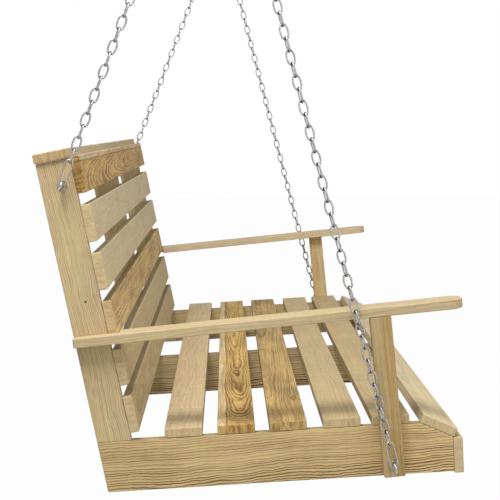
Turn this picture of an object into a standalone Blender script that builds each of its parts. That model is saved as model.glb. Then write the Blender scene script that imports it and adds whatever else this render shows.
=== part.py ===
"""Porch swing bench: three raked timber frames, the middle one a little off centre, carry six back slats,
five seat slats, a tilted nosing slat, a fascia and a cap board. Two armrests stand on posts outside the
frames. Four welded-link chains with snap hooks and eye bolts meet in a ring at each end, and each ring
hangs in a ceiling hook.

World frame: X runs along the bench, the sitter faces -Y and Z is up. The origin is on the ceiling,
midway between the two ceiling hooks. Bench frame: its origin is the lower rear corner of the rails at
mid length, and it leans back by RECLINE, as the bench hangs. Lengths are in metres.
"""

import math

import bmesh
import bpy
from mathutils import Matrix, Vector

# Timber frame
BENCH_LENGTH = 1.550
FRAME_THICKNESS = 0.018
BOARD_THICKNESS = 0.0172
RAIL_HEIGHT = 0.0935
RAIL_LENGTH = 0.631
NOSE_RUN = 0.0593
NOSE_DROP = 0.0296
RAKE = math.radians(8.29)
POST_DEPTH = 0.0614
BACK_RISE = 0.6059
LAP_DEPTH = 0.009
CENTRE_FRAME_OFFSET = 0.030
RECLINE = math.radians(2.88)

# Slats and cap
BACK_SLAT_COUNT = 6
BACK_SLAT_WIDTH = 0.0676
BACK_TOP_RISE = 0.0018
BACK_FOOT_GAP = 0.0133
SEAT_SLAT_COUNT = 5
SEAT_SLAT_WIDTH = 0.0681
SEAT_REAR_GAP = 0.1091
SEAT_FRONT_GAP = 0.0165
SEAT_SLAT_SHIFTS = (0.0, 0.0010, 0.0004, 0.0036, -0.0024)
FASCIA_HEIGHT = 0.0665
FASCIA_DROP = 0.001
CAP_REAR_OVERHANG = 0.0017
CAP_END_OVERHANG = 0.005

# Armrests and their posts
ARM_TILT = math.radians(2.5)
ARM_WIDTH = 0.0535
ARM_HEIGHT = 0.2929
ARM_FRONT_OVERHANG = 0.1305
ARM_REAR_OVERHANG = 0.0015
ARM_CHAMFER = 0.014
ARM_POST_DEPTH = 0.038
ARM_POST_THICKNESS = 0.0226
ARM_POST_SETBACK = 0.1115
ARM_POST_FOOT = 0.0025

# Chains and fittings
LINK_PITCH = 0.02236
LINK_WIRE = 0.0035
LINK_WIDTH = 0.0175
LINK_FUSE = 0.0009
LINK_CROWN = 0.6
REAR_LINKS = 31
FRONT_LINKS = 53
SNAP_WIRE = 0.004
SNAP_LENGTH = 0.050
SNAP_WIDTH = 0.0175
GATE_WIRE = 0.0036
GATE_LENGTH = 0.0216
GATE_PLAY = 0.0004
BOLT_WIRE = 0.005
BOLT_EYE = 0.010
BOLT_SHANK = 0.006
BOLT_STANDOFF = 0.016
WASHER_WIDTH = 0.018
WASHER_THICKNESS = 0.0015
NUT_WIDTH = 0.010
NUT_HEIGHT = 0.005
THREAD_PROUD = 0.003
REAR_BOLT_DROP = 0.0456
REAR_BOLT_SETBACK = 0.0232
FRONT_BOLT_RISE = 0.0212
RING_WIRE = 0.006
RING_BORE = 0.038
HOOK_WIRE = 0.008
HOOK_BORE = 0.020
HOOK_NECK = 0.014
PLATE_LENGTH = 0.064
PLATE_WIDTH = 0.030
PLATE_THICKNESS = 0.004
SCREW_HOLE = 0.0055
SCREW_SPACING = 0.044
HANGER_OUTSET = 0.036

# Clearances and finish
GAP = 0.0003
BOLT_CLEARANCE = 0.0003
EDGE_RADIUS = 0.0012
OVERCUT = 0.020

SIDES = (("right", -1), ("left", 1))


# Collections, materials and small shape tools

def clear_scene():
    for obj in list(bpy.data.objects):
        bpy.data.objects.remove(obj, do_unlink=True)


def make_collection(name):
    collection = bpy.data.collections.new(name)
    bpy.context.scene.collection.children.link(collection)
    return collection


def make_material(name, colour, roughness, metallic=0.0):
    material = bpy.data.materials.new(name)
    material.use_nodes = True
    shader = material.node_tree.nodes["Principled BSDF"]
    shader.inputs["Base Color"].default_value = (*colour, 1.0)
    shader.inputs["Roughness"].default_value = roughness
    shader.inputs["Metallic"].default_value = metallic
    return material


def pine(name, colour):
    return make_material(name, colour, 0.62)


def steel(name, colour):
    return make_material(name, colour, 0.35, 1.0)


def place(obj, collection, parent=None, location=(0, 0, 0), rotation=(0, 0, 0), material=None):
    """Links a new object, hangs it on its parent and gives it its material."""
    for owner in list(obj.users_collection):
        owner.objects.unlink(obj)
    collection.objects.link(obj)
    obj.parent = parent
    obj.location = location
    obj.rotation_euler = rotation
    if material:
        obj.data.materials.clear()
        obj.data.materials.append(material)
    return obj


def make_empty(name, parent=None, location=(0, 0, 0), rotation=(0, 0, 0)):
    empty = bpy.data.objects.new(name, None)
    return place(empty, PARTS, parent, location, rotation)


def make_cutter(obj, parent=None, location=(0, 0, 0), rotation=(0, 0, 0)):
    place(obj, CUTTERS, parent, location, rotation)
    obj.hide_render = True
    obj.display_type = "WIRE"
    return obj


def box(name, size):
    mesh = bpy.data.meshes.new(name)
    shape = bmesh.new()
    bmesh.ops.create_cube(shape, size=1.0)
    bmesh.ops.scale(shape, vec=size, verts=shape.verts)
    shape.to_mesh(mesh)
    shape.free()
    return bpy.data.objects.new(name, mesh)


def cylinder(name, radius, length, sides):
    """A cylinder along X, centred on its origin."""
    mesh = bpy.data.meshes.new(name)
    shape = bmesh.new()
    bmesh.ops.create_cone(
        shape, cap_ends=True, segments=sides, radius1=radius, radius2=radius, depth=length
    )
    bmesh.ops.rotate(shape, matrix=Matrix.Rotation(math.pi / 2, 3, "Y"), verts=shape.verts)
    shape.to_mesh(mesh)
    shape.free()
    return bpy.data.objects.new(name, mesh)


def mesh_from(curve_object, turn=Matrix.Identity(4)):
    """The evaluated curve as a mesh object with its caps welded. The curve is removed."""
    bpy.context.view_layer.update()
    evaluated = curve_object.evaluated_get(bpy.context.evaluated_depsgraph_get())
    mesh = bpy.data.meshes.new_from_object(evaluated)
    shape = bmesh.new()
    shape.from_mesh(mesh)
    bmesh.ops.remove_doubles(shape, verts=shape.verts, dist=1e-6)
    bmesh.ops.recalc_face_normals(shape, faces=shape.faces)
    shape.to_mesh(mesh)
    shape.free()
    name = curve_object.name
    mesh.transform(turn)
    bpy.data.objects.remove(curve_object, do_unlink=True)
    return bpy.data.objects.new(name, mesh)


def plate(name, outline, thickness, turn=Matrix.Identity(4)):
    """A flat outline in the curve's own XY plane, as thick as it says, turned into place."""
    curve = bpy.data.curves.new(name, "CURVE")
    curve.dimensions = "2D"
    curve.fill_mode = "BOTH"
    curve.extrude = thickness / 2
    spline = curve.splines.new("POLY")
    spline.points.add(len(outline) - 1)
    for point, (across, along) in zip(spline.points, outline):
        point.co = (across, along, 0, 1)
    spline.use_cyclic_u = True
    flat = bpy.data.objects.new(name, curve)
    bpy.context.scene.collection.objects.link(flat)
    return mesh_from(flat, turn)


def wire(name, points, diameter, sides_step, cyclic=False, radii=None):
    """A round bar along the points, as a curve with filled caps."""
    curve = bpy.data.curves.new(name, "CURVE")
    curve.dimensions = "3D"
    curve.bevel_depth = diameter / 2
    curve.bevel_resolution = sides_step
    curve.use_fill_caps = not cyclic
    spline = curve.splines.new("POLY")
    spline.points.add(len(points) - 1)
    for index, point in enumerate(points):
        spline.points[index].co = (*point, 1)
        spline.points[index].radius = radii[index] if radii else 1.0
    spline.use_cyclic_u = cyclic
    return bpy.data.objects.new(name, curve)


def torus(name, mean_radius, wire_radius, steps, sides):
    """A ring round Z."""
    bpy.ops.mesh.primitive_torus_add(
        major_radius=mean_radius, minor_radius=wire_radius, major_segments=steps, minor_segments=sides
    )
    ring = bpy.context.active_object
    ring.name = name
    return ring


def ease_edges(obj):
    bevel = obj.modifiers.new("eased edges", "BEVEL")
    bevel.width = EDGE_RADIUS
    bevel.segments = 1
    bevel.limit_method = "ANGLE"
    bevel.angle_limit = math.radians(30)


def boolean(obj, other, operation):
    modifier = obj.modifiers.new(f"{operation.lower()} {other.name}", "BOOLEAN")
    modifier.operation = operation
    modifier.solver = "EXACT"
    modifier.object = other


def shade_round(obj):
    obj.data.shade_smooth()
    obj.data.set_sharp_from_angle(angle=math.radians(35))


def arc(centre, radius, start, end, steps):
    """Points of an arc in a plane, from start to end in degrees."""
    for step in range(steps + 1):
        angle = math.radians(start + (end - start) * step / steps)
        yield centre[0] + radius * math.cos(angle), centre[1] + radius * math.sin(angle)


# Places that several pieces share

END_FACE = BENCH_LENGTH / 2
FRAME_STATIONS = {
    "right": -END_FACE + FRAME_THICKNESS / 2,
    "centre": CENTRE_FRAME_OFFSET,
    "left": END_FACE - FRAME_THICKNESS / 2,
}
NOSE_ANGLE = math.atan2(NOSE_DROP, NOSE_RUN)
NOSE_START = RAIL_LENGTH - NOSE_RUN
RAIL_NOSE_HEIGHT = RAIL_HEIGHT - NOSE_DROP
SLAT_REAR = POST_DEPTH + GAP
SLAT_FRONT = SLAT_REAR + BOARD_THICKNESS
FASCIA_TOP = RAIL_NOSE_HEIGHT - FASCIA_DROP
ARM_POST_PLACE = RAIL_LENGTH - ARM_POST_SETBACK
ARM_OUTSET = GAP + ARM_POST_THICKNESS + GAP

# The side plane of the bench as (distance in front of the rear corner, height)
RAIL_TURN = Matrix(((0, 0, -1, 0), (-1, 0, 0, 0), (0, 1, 0, 0), (0, 0, 0, 1)))


def on_post(up, forward):
    """A point of the raked back, as distance forward and height in the bench frame."""
    return (
        forward * math.cos(RAKE) - up * math.sin(RAKE),
        up * math.cos(RAKE) + forward * math.sin(RAKE),
    )


def on_arm(forward, up):
    """A point of the tilted arm frame, as distance forward and height in the bench frame."""
    return (
        ARM_POST_PLACE + forward * math.cos(ARM_TILT) - up * math.sin(ARM_TILT),
        ARM_POST_FOOT + forward * math.sin(ARM_TILT) + up * math.cos(ARM_TILT),
    )


def arm_meets_back(depth):
    """How far forward, in the arm frame, the armrest's underside meets a plane of the raked back."""
    start, height = on_arm(0.0, ARM_HEIGHT)
    reached = start * math.cos(RAKE) + height * math.sin(RAKE)
    return (depth - reached) / math.cos(RAKE - ARM_TILT)


# Hardware places, in the bench frame

REAR_EYE_PLACE = on_post(BACK_RISE - REAR_BOLT_DROP, POST_DEPTH - REAR_BOLT_SETBACK)
FRONT_EYE_PLACE = on_arm(0.0, FRONT_BOLT_RISE)
EYE_MEAN = BOLT_EYE / 2 + BOLT_WIRE / 2
SNAP_SEAT = BOLT_EYE / 2 - SNAP_WIRE / 2 - GAP
SNAP_REACH = SNAP_LENGTH - SNAP_WIRE
CHAIN_START = SNAP_SEAT + SNAP_REACH - SNAP_WIRE / 2 - GAP
RING_MEAN = RING_BORE / 2 + RING_WIRE / 2
CHAIN_END = RING_BORE / 2 - GAP
LINK_REACH = (LINK_PITCH - LINK_FUSE) / 2
REAR_OUTSET = BOLT_STANDOFF
FRONT_OUTSET = ARM_OUTSET - GAP + BOLT_STANDOFF


def chain_reach(links):
    """From the eye bolt's eye to the ring's centre."""
    return CHAIN_START + 2 * LINK_REACH + (links - 1) * LINK_PITCH + CHAIN_END


def apex_place():
    """Where the two chains of one side meet: the far corner of a triangle whose sides are known."""
    rear = Vector((REAR_OUTSET, *REAR_EYE_PLACE))
    front = Vector((FRONT_OUTSET, *FRONT_EYE_PLACE))
    base = front.yz - rear.yz
    rear_reach = math.sqrt(chain_reach(REAR_LINKS) ** 2 - (HANGER_OUTSET - REAR_OUTSET) ** 2)
    front_reach = math.sqrt(chain_reach(FRONT_LINKS) ** 2 - (HANGER_OUTSET - FRONT_OUTSET) ** 2)
    along = (rear_reach**2 - front_reach**2 + base.length_squared) / (2 * base.length)
    away = math.sqrt(rear_reach**2 - along**2)
    forward = base.normalized()
    upward = Vector((-forward.y, forward.x))
    return rear.yz + forward * along + upward * away


APEX_PLACE = apex_place()
HOOK_MEAN = HOOK_BORE / 2 + HOOK_WIRE / 2
HOOK_CENTRE = -(PLATE_THICKNESS + HOOK_NECK + HOOK_MEAN)
SWING_HEIGHT = HOOK_CENTRE - HOOK_MEAN
APEX_HEIGHT = SWING_HEIGHT - (RING_BORE / 2 - HOOK_WIRE / 2 - GAP)


# Timber

def make_frame(label, station, bench, back):
    """A rail and the raked post lapped into its rear end."""
    rail = plate(
        f"{label}_rail",
        [
            (0, 0),
            (RAIL_LENGTH, 0),
            (RAIL_LENGTH, RAIL_NOSE_HEIGHT),
            (NOSE_START, RAIL_HEIGHT),
            (-RAIL_HEIGHT * math.tan(RAKE), RAIL_HEIGHT),
        ],
        FRAME_THICKNESS,
        RAIL_TURN,
    )
    place(rail, PARTS, bench, (station, 0, 0), material=pine(f"{label} rail pine", (0.50, 0.37, 0.19)))
    ease_edges(rail)

    post_length = BACK_RISE + POST_DEPTH
    post = box(f"{label}_post", (FRAME_THICKNESS, POST_DEPTH, post_length))
    middle = BACK_RISE - post_length / 2
    place(post, PARTS, back, (station, -POST_DEPTH / 2, middle))
    post.data.materials.append(pine(f"{label} post pine", (0.55, 0.42, 0.23)))
    ease_edges(post)

    inward = -1 if label == "left" else 1
    lap = FRAME_THICKNESS / 2 - LAP_DEPTH
    housing_size = (FRAME_THICKNESS, POST_DEPTH + OVERCUT + GAP, 2 * RAIL_HEIGHT + OVERCUT)
    housing = box(f"{label} housing", housing_size)
    housing_x = station + inward * (lap + FRAME_THICKNESS / 2)
    make_cutter(housing, back, (housing_x, (OVERCUT - POST_DEPTH - GAP) / 2, RAIL_HEIGHT / 2))
    boolean(rail, housing, "DIFFERENCE")

    foot = box(f"{label} foot", (4 * FRAME_THICKNESS, 4 * POST_DEPTH, 2 * POST_DEPTH))
    make_cutter(foot, bench, (station, 0, -POST_DEPTH))
    boolean(post, foot, "DIFFERENCE")

    shoulder_height = RAIL_HEIGHT + GAP + OVERCUT
    shoulder = box(f"{label} shoulder", (FRAME_THICKNESS, 4 * POST_DEPTH, shoulder_height))
    shoulder_x = station + inward * (lap + GAP - FRAME_THICKNESS / 2)
    make_cutter(shoulder, bench, (shoulder_x, 0, RAIL_HEIGHT + GAP - shoulder_height / 2))
    boolean(post, shoulder, "DIFFERENCE")
    return rail, post


def make_board(name, length, width, colour, parent, location, rotation=(0, 0, 0)):
    """A board along X whose broad face looks along its own Z."""
    board = box(name, (length, width, BOARD_THICKNESS))
    place(board, PARTS, parent, location, rotation, pine(f"{name} pine", colour))
    ease_edges(board)
    return board


def make_back_slats(back):
    top = BACK_RISE + BACK_TOP_RISE
    rail_top = (RAIL_HEIGHT - POST_DEPTH * math.sin(RAKE)) / math.cos(RAKE)
    bottom = rail_top + BACK_FOOT_GAP
    pitch = (top - bottom - BACK_SLAT_WIDTH) / (BACK_SLAT_COUNT - 1)
    for index in range(BACK_SLAT_COUNT):
        up = top - BACK_SLAT_WIDTH / 2 - index * pitch
        make_board(
            f"back_slat_{index + 1}",
            BENCH_LENGTH,
            BACK_SLAT_WIDTH,
            BACK_COLOURS[index % len(BACK_COLOURS)],
            back,
            (0, -(SLAT_REAR + SLAT_FRONT) / 2, up),
            (math.pi / 2, 0, 0),
        )


def make_seat_slats(bench):
    """Evenly spaced slats, each shifted a little, as they were nailed by hand."""
    rear = SEAT_REAR_GAP
    front = NOSE_START - SEAT_FRONT_GAP
    pitch = (front - rear - SEAT_SLAT_WIDTH) / (SEAT_SLAT_COUNT - 1)
    for index in range(SEAT_SLAT_COUNT):
        forward = rear + SEAT_SLAT_WIDTH / 2 + index * pitch + SEAT_SLAT_SHIFTS[index]
        make_board(
            f"seat_slat_{index + 1}",
            BENCH_LENGTH,
            SEAT_SLAT_WIDTH,
            SEAT_COLOURS[index % len(SEAT_COLOURS)],
            bench,
            (0, -forward, RAIL_HEIGHT + GAP + BOARD_THICKNESS / 2),
        )


def make_nosing_and_fascia(bench):
    slope = make_empty("nosing_slope", bench, (0, -NOSE_START, RAIL_HEIGHT), (NOSE_ANGLE, 0, 0))
    make_board(
        "nosing_slat",
        BENCH_LENGTH,
        SEAT_SLAT_WIDTH,
        (0.57, 0.45, 0.25),
        slope,
        (0, -SEAT_SLAT_WIDTH / 2, GAP + BOARD_THICKNESS / 2),
    )
    make_board(
        "front_fascia",
        BENCH_LENGTH,
        FASCIA_HEIGHT,
        (0.55, 0.43, 0.24),
        bench,
        (0, -(RAIL_LENGTH + GAP + BOARD_THICKNESS / 2), FASCIA_TOP - FASCIA_HEIGHT / 2),
        (math.pi / 2, 0, 0),
    )


def make_cap(back):
    depth = CAP_REAR_OVERHANG + POST_DEPTH
    make_board(
        "top_cap",
        BENCH_LENGTH + 2 * CAP_END_OVERHANG,
        depth,
        (0.56, 0.43, 0.24),
        back,
        (0, CAP_REAR_OVERHANG - depth / 2, BACK_RISE + GAP + BOARD_THICKNESS / 2),
    )


def make_arm(label, side, arm):
    """An armrest, notched round the rear post, on its own front post."""
    outer = -ARM_OUTSET
    inner = outer + ARM_WIDTH
    rear = arm_meets_back(0.0) - ARM_REAR_OVERHANG
    notch = arm_meets_back(SLAT_FRONT) + GAP
    front = ARM_POST_DEPTH / 2 + ARM_FRONT_OVERHANG
    outline = [
        (outer, rear),
        (-GAP, rear),
        (-GAP, notch),
        (inner, notch),
        (inner, front - ARM_CHAMFER),
        (inner - ARM_CHAMFER, front),
        (outer + ARM_CHAMFER, front),
        (outer, front - ARM_CHAMFER),
    ]
    turned = [(side * (END_FACE - across), -along) for across, along in outline]
    armrest = plate(f"{label}_armrest", turned, BOARD_THICKNESS)
    height = ARM_HEIGHT + GAP + BOARD_THICKNESS / 2
    place(armrest, PARTS, arm, (0, 0, height), material=pine(f"{label} armrest pine", (0.55, 0.43, 0.24)))
    ease_edges(armrest)

    post = box(f"{label}_arm_post", (ARM_POST_THICKNESS, ARM_POST_DEPTH, ARM_HEIGHT))
    station = side * (END_FACE + GAP + ARM_POST_THICKNESS / 2)
    place(post, PARTS, arm, (station, 0, ARM_HEIGHT / 2))
    post.data.materials.append(pine(f"{label} arm post pine", (0.47, 0.34, 0.16)))
    ease_edges(post)
    return post


# Chains and fittings

def pull_frame(eye, ring):
    """Axes at an eye: Z along the chain's pull, X nearest the bench's length."""
    pull = (ring - eye).normalized()
    across = Vector((1, 0, 0))
    across = (across - pull * across.dot(pull)).normalized()
    fore = pull.cross(across)
    axes = Matrix((across, fore, pull)).transposed().to_4x4()
    return Matrix.Translation(eye) @ axes


def make_eye_bolt(label, side, eye, frame, timber, depth, parent):
    """An eye bolt through the timber, with its washers and nut, and the hole it runs in."""
    face = eye.x - side * BOLT_STANDOFF
    tail = face - side * (depth + WASHER_THICKNESS + NUT_HEIGHT + THREAD_PROUD + 2 * GAP)
    head = eye.x - side * (BOLT_EYE / 2 + BOLT_WIRE / 2)
    shank = cylinder(f"{label}_eye_bolt", BOLT_SHANK / 2, abs(head - tail), 12)
    place(shank, PARTS, None, ((head + tail) / 2, eye.y, eye.z))
    shank.data.materials.append(steel(f"{label} eye bolt zinc", (0.62, 0.63, 0.64)))
    shade_round(shank)
    loop = torus(f"{label} bolt loop", EYE_MEAN, BOLT_WIRE / 2, 14, 6)
    make_cutter(loop)
    loop.matrix_world = frame @ Matrix.Rotation(math.pi / 2, 4, "X")
    boolean(shank, loop, "UNION")

    bore_length = abs(face - tail) + OVERCUT
    bore = cylinder(f"{label} bolt bore", BOLT_SHANK / 2 + BOLT_CLEARANCE, bore_length, 12)
    make_cutter(bore, None, ((face + tail) / 2, eye.y, eye.z))
    outer_x = face + side * (GAP + WASHER_THICKNESS / 2)
    inner_x = face - side * (depth + GAP + WASHER_THICKNESS / 2)
    nut_x = face - side * (depth + 2 * GAP + WASHER_THICKNESS + NUT_HEIGHT / 2)
    fittings = (
        ("outer_washer", WASHER_WIDTH, WASHER_THICKNESS, 16, outer_x),
        ("inner_washer", WASHER_WIDTH, WASHER_THICKNESS, 16, inner_x),
        ("nut", NUT_WIDTH / math.cos(math.pi / 6), NUT_HEIGHT, 6, nut_x),
    )
    for word, width, thickness, sides, station in fittings:
        piece = cylinder(f"{label}_{word}", width / 2, thickness, sides)
        place(piece, PARTS, None, (station, eye.y, eye.z))
        piece.data.materials.append(steel(f"{label} {word} zinc", (0.60, 0.61, 0.62)))
        boolean(piece, bore, "DIFFERENCE")
    for piece in timber:
        boolean(piece, bore, "DIFFERENCE")
    for piece in list(PARTS.objects):
        if piece.name.startswith(f"{label}_") and piece.parent is None:
            hang(piece, parent)


def hang(obj, parent):
    """Parents an object and keeps it where it is."""
    bpy.context.view_layer.update()
    obj.parent = parent
    obj.matrix_parent_inverse = parent.matrix_world.inverted()


def make_snap_hook(label, frame, parent):
    """A wire snap hook in the plane of the pull, and its gate on a pivot."""
    bend = (SNAP_WIDTH - SNAP_WIRE) / 2
    low = bend
    high = SNAP_REACH - bend
    pivot = (SNAP_REACH - GATE_LENGTH) / 2
    heel = pivot - GATE_WIRE / 2 - GATE_PLAY
    nose = pivot + GATE_LENGTH + GATE_PLAY
    route = [(bend, heel)]
    route += list(arc((0, low), bend, 0, -180, 6))
    route += list(arc((0, high), bend, 180, 0, 6))
    route += [(bend, nose)]
    seat = frame @ Matrix.Translation((0, 0, SNAP_SEAT))
    body = wire(f"{label}_snap_hook", [(0, -across, up) for across, up in route], SNAP_WIRE, 1)
    place(body, PARTS, material=steel(f"{label} snap hook zinc", (0.58, 0.59, 0.60)))
    body.matrix_world = seat
    ends = (-GATE_WIRE / 2, -GATE_WIRE / 4, 0, GATE_LENGTH)
    gate = wire(f"{label}_gate", [(0, 0, up) for up in ends], GATE_WIRE, 1, radii=(0.45, 0.9, 1.0, 1.0))
    place(gate, PARTS, material=steel(f"{label} gate zinc", (0.64, 0.65, 0.66)))
    gate.matrix_world = seat @ Matrix.Translation((0, -bend, pivot))
    for piece in (body, gate):
        hang(piece, parent)


def link_ring(name):
    """One link round its own centre, long along Z, wide along X. Its bar is a prism of the wire's thickness."""
    bar = LINK_WIRE / 1.5
    section = bpy.data.curves.new(f"{name} section", "CURVE")
    section.dimensions = "2D"
    corners = section.splines.new("POLY")
    corners.points.add(2)
    for index, point in enumerate(corners.points):
        angle = 2 * math.pi * index / 3 - math.pi / 2
        point.co = (bar * math.cos(angle), bar * math.sin(angle), 0, 1)
    corners.use_cyclic_u = True
    section_object = bpy.data.objects.new(f"{name} section", section)
    make_cutter(section_object)

    end = LINK_REACH + bar
    half = (LINK_WIDTH - bar) / 2
    crown = half * LINK_CROWN
    route = [(crown, end), (half, 0), (crown, -end), (-crown, -end), (-half, 0), (-crown, end)]
    mitre = 1 / math.cos(math.atan2(end, half - crown) / 2)
    points = [(across, 0, along) for across, along in route]
    link = wire(name, points, LINK_WIRE, 0, cyclic=True, radii=[mitre, 1.0, mitre] * 2)
    link.data.bevel_mode = "OBJECT"
    link.data.bevel_object = section_object
    bpy.context.scene.collection.objects.link(link)
    link = mesh_from(link)
    bpy.data.objects.remove(section_object, do_unlink=True)
    return link


def make_chain(label, frame, count, parent):
    """All links of a chain as one body: every other link is turned a quarter, and neighbours fuse."""
    link = link_ring(f"{label} link")
    lines = []
    for turn in (0, 1):
        shape = bmesh.new()
        for index in range(turn, count, 2):
            along = CHAIN_START + LINK_REACH + index * LINK_PITCH
            added = bmesh.new()
            added.from_mesh(link.data)
            spin = Matrix.Rotation(turn * math.pi / 2, 4, "Z")
            added.transform(Matrix.Translation((0, 0, along)) @ spin)
            copied = bpy.data.meshes.new(f"{label} copied link")
            added.to_mesh(copied)
            added.free()
            shape.from_mesh(copied)
            bpy.data.meshes.remove(copied)
        mesh = bpy.data.meshes.new(f"{label}_chain")
        shape.to_mesh(mesh)
        shape.free()
        lines.append(bpy.data.objects.new(f"{label}_chain" if turn == 0 else f"{label} turned links", mesh))
    chain, turned = lines
    place(chain, PARTS, material=steel(f"{label} chain zinc", (0.56, 0.57, 0.58)))
    chain.matrix_world = frame
    make_cutter(turned)
    turned.matrix_world = frame
    boolean(chain, turned, "UNION")
    hang(chain, parent)
    bpy.data.objects.remove(link, do_unlink=True)


def make_ring(label, apex, parent):
    ring = torus(f"{label}_hanging_ring", RING_MEAN, RING_WIRE / 2, 18, 6)
    place(ring, PARTS, None, apex, (0, math.pi / 2, 0), steel(f"{label} ring zinc", (0.60, 0.61, 0.62)))
    shade_round(ring)
    hang(ring, parent)


def make_ceiling_hook(label, side, station):
    """A drilled plate against the ceiling, with an open hook welded under it. The mouth looks outward."""
    plate_body = box(f"{label}_ceiling_hook", (PLATE_LENGTH, PLATE_WIDTH, PLATE_THICKNESS))
    place(plate_body, PARTS, None, (station, 0, -PLATE_THICKNESS / 2))
    plate_body.data.materials.append(steel(f"{label} ceiling hook zinc", (0.60, 0.61, 0.62)))
    ease_edges(plate_body)
    route = [(0, -PLATE_THICKNESS / 2), (0, HOOK_CENTRE + HOOK_MEAN + HOOK_WIRE)]
    route += list(arc((0, HOOK_CENTRE), HOOK_MEAN, 50, -200, 12))
    hook = wire(f"{label} hook wire", [(-side * across, 0, up) for across, up in route], HOOK_WIRE, 2)
    bpy.context.scene.collection.objects.link(hook)
    hook = mesh_from(hook)
    make_cutter(hook, None, (station, 0, 0))
    boolean(plate_body, hook, "UNION")
    for offset in (-SCREW_SPACING / 2, SCREW_SPACING / 2):
        hole = cylinder(f"{label} screw hole", SCREW_HOLE / 2, OVERCUT, 12)
        make_cutter(hole, None, (station + offset, 0, 0), (0, math.pi / 2, 0))
        boolean(plate_body, hole, "DIFFERENCE")


# Assembly

BACK_COLOURS = (
    (0.44, 0.29, 0.12),
    (0.56, 0.44, 0.25),
    (0.54, 0.42, 0.23),
    (0.44, 0.31, 0.13),
    (0.52, 0.40, 0.22),
    (0.53, 0.42, 0.24),
)
SEAT_COLOURS = (
    (0.57, 0.44, 0.24),
    (0.50, 0.32, 0.12),
    (0.50, 0.37, 0.18),
    (0.55, 0.42, 0.23),
    (0.58, 0.46, 0.27),
)

clear_scene()
PARTS = make_collection("swing_bench")
CUTTERS = make_collection("cutters")


def main():
    swing = make_empty("swing_axis", None, (0, 0, SWING_HEIGHT))
    lean = Matrix.Rotation(-RECLINE, 3, "X")
    apex = Vector((0, 0, APEX_HEIGHT))
    corner = apex - lean @ Vector((0, -APEX_PLACE.x, APEX_PLACE.y))
    bench = make_empty("bench_frame", swing, corner - swing.location, (-RECLINE, 0, 0))
    back = make_empty("back_rake", bench, (0, 0, 0), (-RAKE, 0, 0))
    arm = make_empty("arm_tilt", bench, (0, -ARM_POST_PLACE, ARM_POST_FOOT), (-ARM_TILT, 0, 0))

    frames = {label: make_frame(label, x, bench, back) for label, x in FRAME_STATIONS.items()}
    make_back_slats(back)
    make_seat_slats(bench)
    make_nosing_and_fascia(bench)
    make_cap(back)
    bpy.context.view_layer.update()

    for label, side in SIDES:
        arm_post = make_arm(label, side, arm)
        rail, post = frames[label]
        ring = Vector((side * (END_FACE + HANGER_OUTSET), 0, APEX_HEIGHT))
        bolts = (
            ("rear", REAR_EYE_PLACE, REAR_OUTSET, REAR_LINKS, (post,), FRAME_THICKNESS),
            (
                "front",
                FRONT_EYE_PLACE,
                FRONT_OUTSET,
                FRONT_LINKS,
                (rail, arm_post),
                FRAME_THICKNESS + GAP + ARM_POST_THICKNESS,
            ),
        )
        for word, place_on_side, outset, links, timber, depth in bolts:
            name = f"{label}_{word}"
            eye_local = Vector((side * (END_FACE + outset), -place_on_side[0], place_on_side[1]))
            eye = bench.matrix_world @ eye_local
            frame = pull_frame(eye, ring)
            make_eye_bolt(name, side, eye, frame, timber, depth, swing)
            make_snap_hook(name, frame, swing)
            make_chain(name, frame, links, swing)
        make_ring(label, ring, swing)
        make_ceiling_hook(label, side, ring.x)


main()
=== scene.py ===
"""Looks for the hanging swing bench: pine boards with their own grain, and galvanised chains and fittings.

Every length is in metres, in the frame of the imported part: X along the bench, the sitter faces -Y, Z up,
origin on the ceiling between the two hooks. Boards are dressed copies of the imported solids.
"""

import math
import random

import bmesh
import bpy
from mathutils import Matrix, Vector


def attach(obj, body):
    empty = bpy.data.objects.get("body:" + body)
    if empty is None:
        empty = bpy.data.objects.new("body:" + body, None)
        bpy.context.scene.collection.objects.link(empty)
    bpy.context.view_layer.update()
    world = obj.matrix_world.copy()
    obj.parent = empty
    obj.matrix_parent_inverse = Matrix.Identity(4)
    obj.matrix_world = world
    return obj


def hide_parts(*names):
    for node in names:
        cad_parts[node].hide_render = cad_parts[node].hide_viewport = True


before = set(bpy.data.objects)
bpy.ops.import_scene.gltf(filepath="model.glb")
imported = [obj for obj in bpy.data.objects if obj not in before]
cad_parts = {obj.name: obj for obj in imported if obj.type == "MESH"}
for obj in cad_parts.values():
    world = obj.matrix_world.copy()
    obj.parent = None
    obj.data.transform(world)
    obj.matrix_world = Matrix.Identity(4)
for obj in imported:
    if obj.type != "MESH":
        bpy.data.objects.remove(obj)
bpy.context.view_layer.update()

# Sizes that the part's source has too. The three pairs are places in the bench frame, forward and up from
# the lower rear corner of the rails, and outsets are measured outwards from the end faces of the bench.
BENCH_LENGTH = 1.550
FRAME_THICKNESS = 0.018
ARM_POST_THICKNESS = 0.0226
RAKE = math.radians(8.29)
RECLINE = math.radians(2.88)
ARM_TILT = math.radians(2.5)
NOSE_ANGLE = math.atan2(0.0296, 0.0593)
APEX_PLACE = (0.2720504, 1.2483912)
REAR_EYE = (-0.0429852, 0.5599532)
FRONT_EYE = (0.5185753, 0.0236798)
REAR_OUTSET = 0.016
FRONT_OUTSET = 0.0389
HANGER_OUTSET = 0.036
APEX_HEIGHT = -0.0607
RING_MEAN = 0.022
RING_WIRE = 0.006
LINK_COUNTS = {"rear": 31, "front": 53}
LINK_TWIST = 14
LINK_WIRE = 0.0035
LINK_WIDTH = 0.0175
LINK_PITCH = 0.02236
LINK_REACH = 0.01073
CHAIN_START = 0.0464
SNAP_SEAT = 0.0027
SNAP_REACH = 0.046
SNAP_BEND = 0.00675
GATE_LENGTH = 0.0216
GATE_WIRE = 0.0036
GATE_PIVOT = (SNAP_REACH - GATE_LENGTH) / 2
BOLT_WIRE = 0.005
BOLT_SHANK = 0.006
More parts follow.
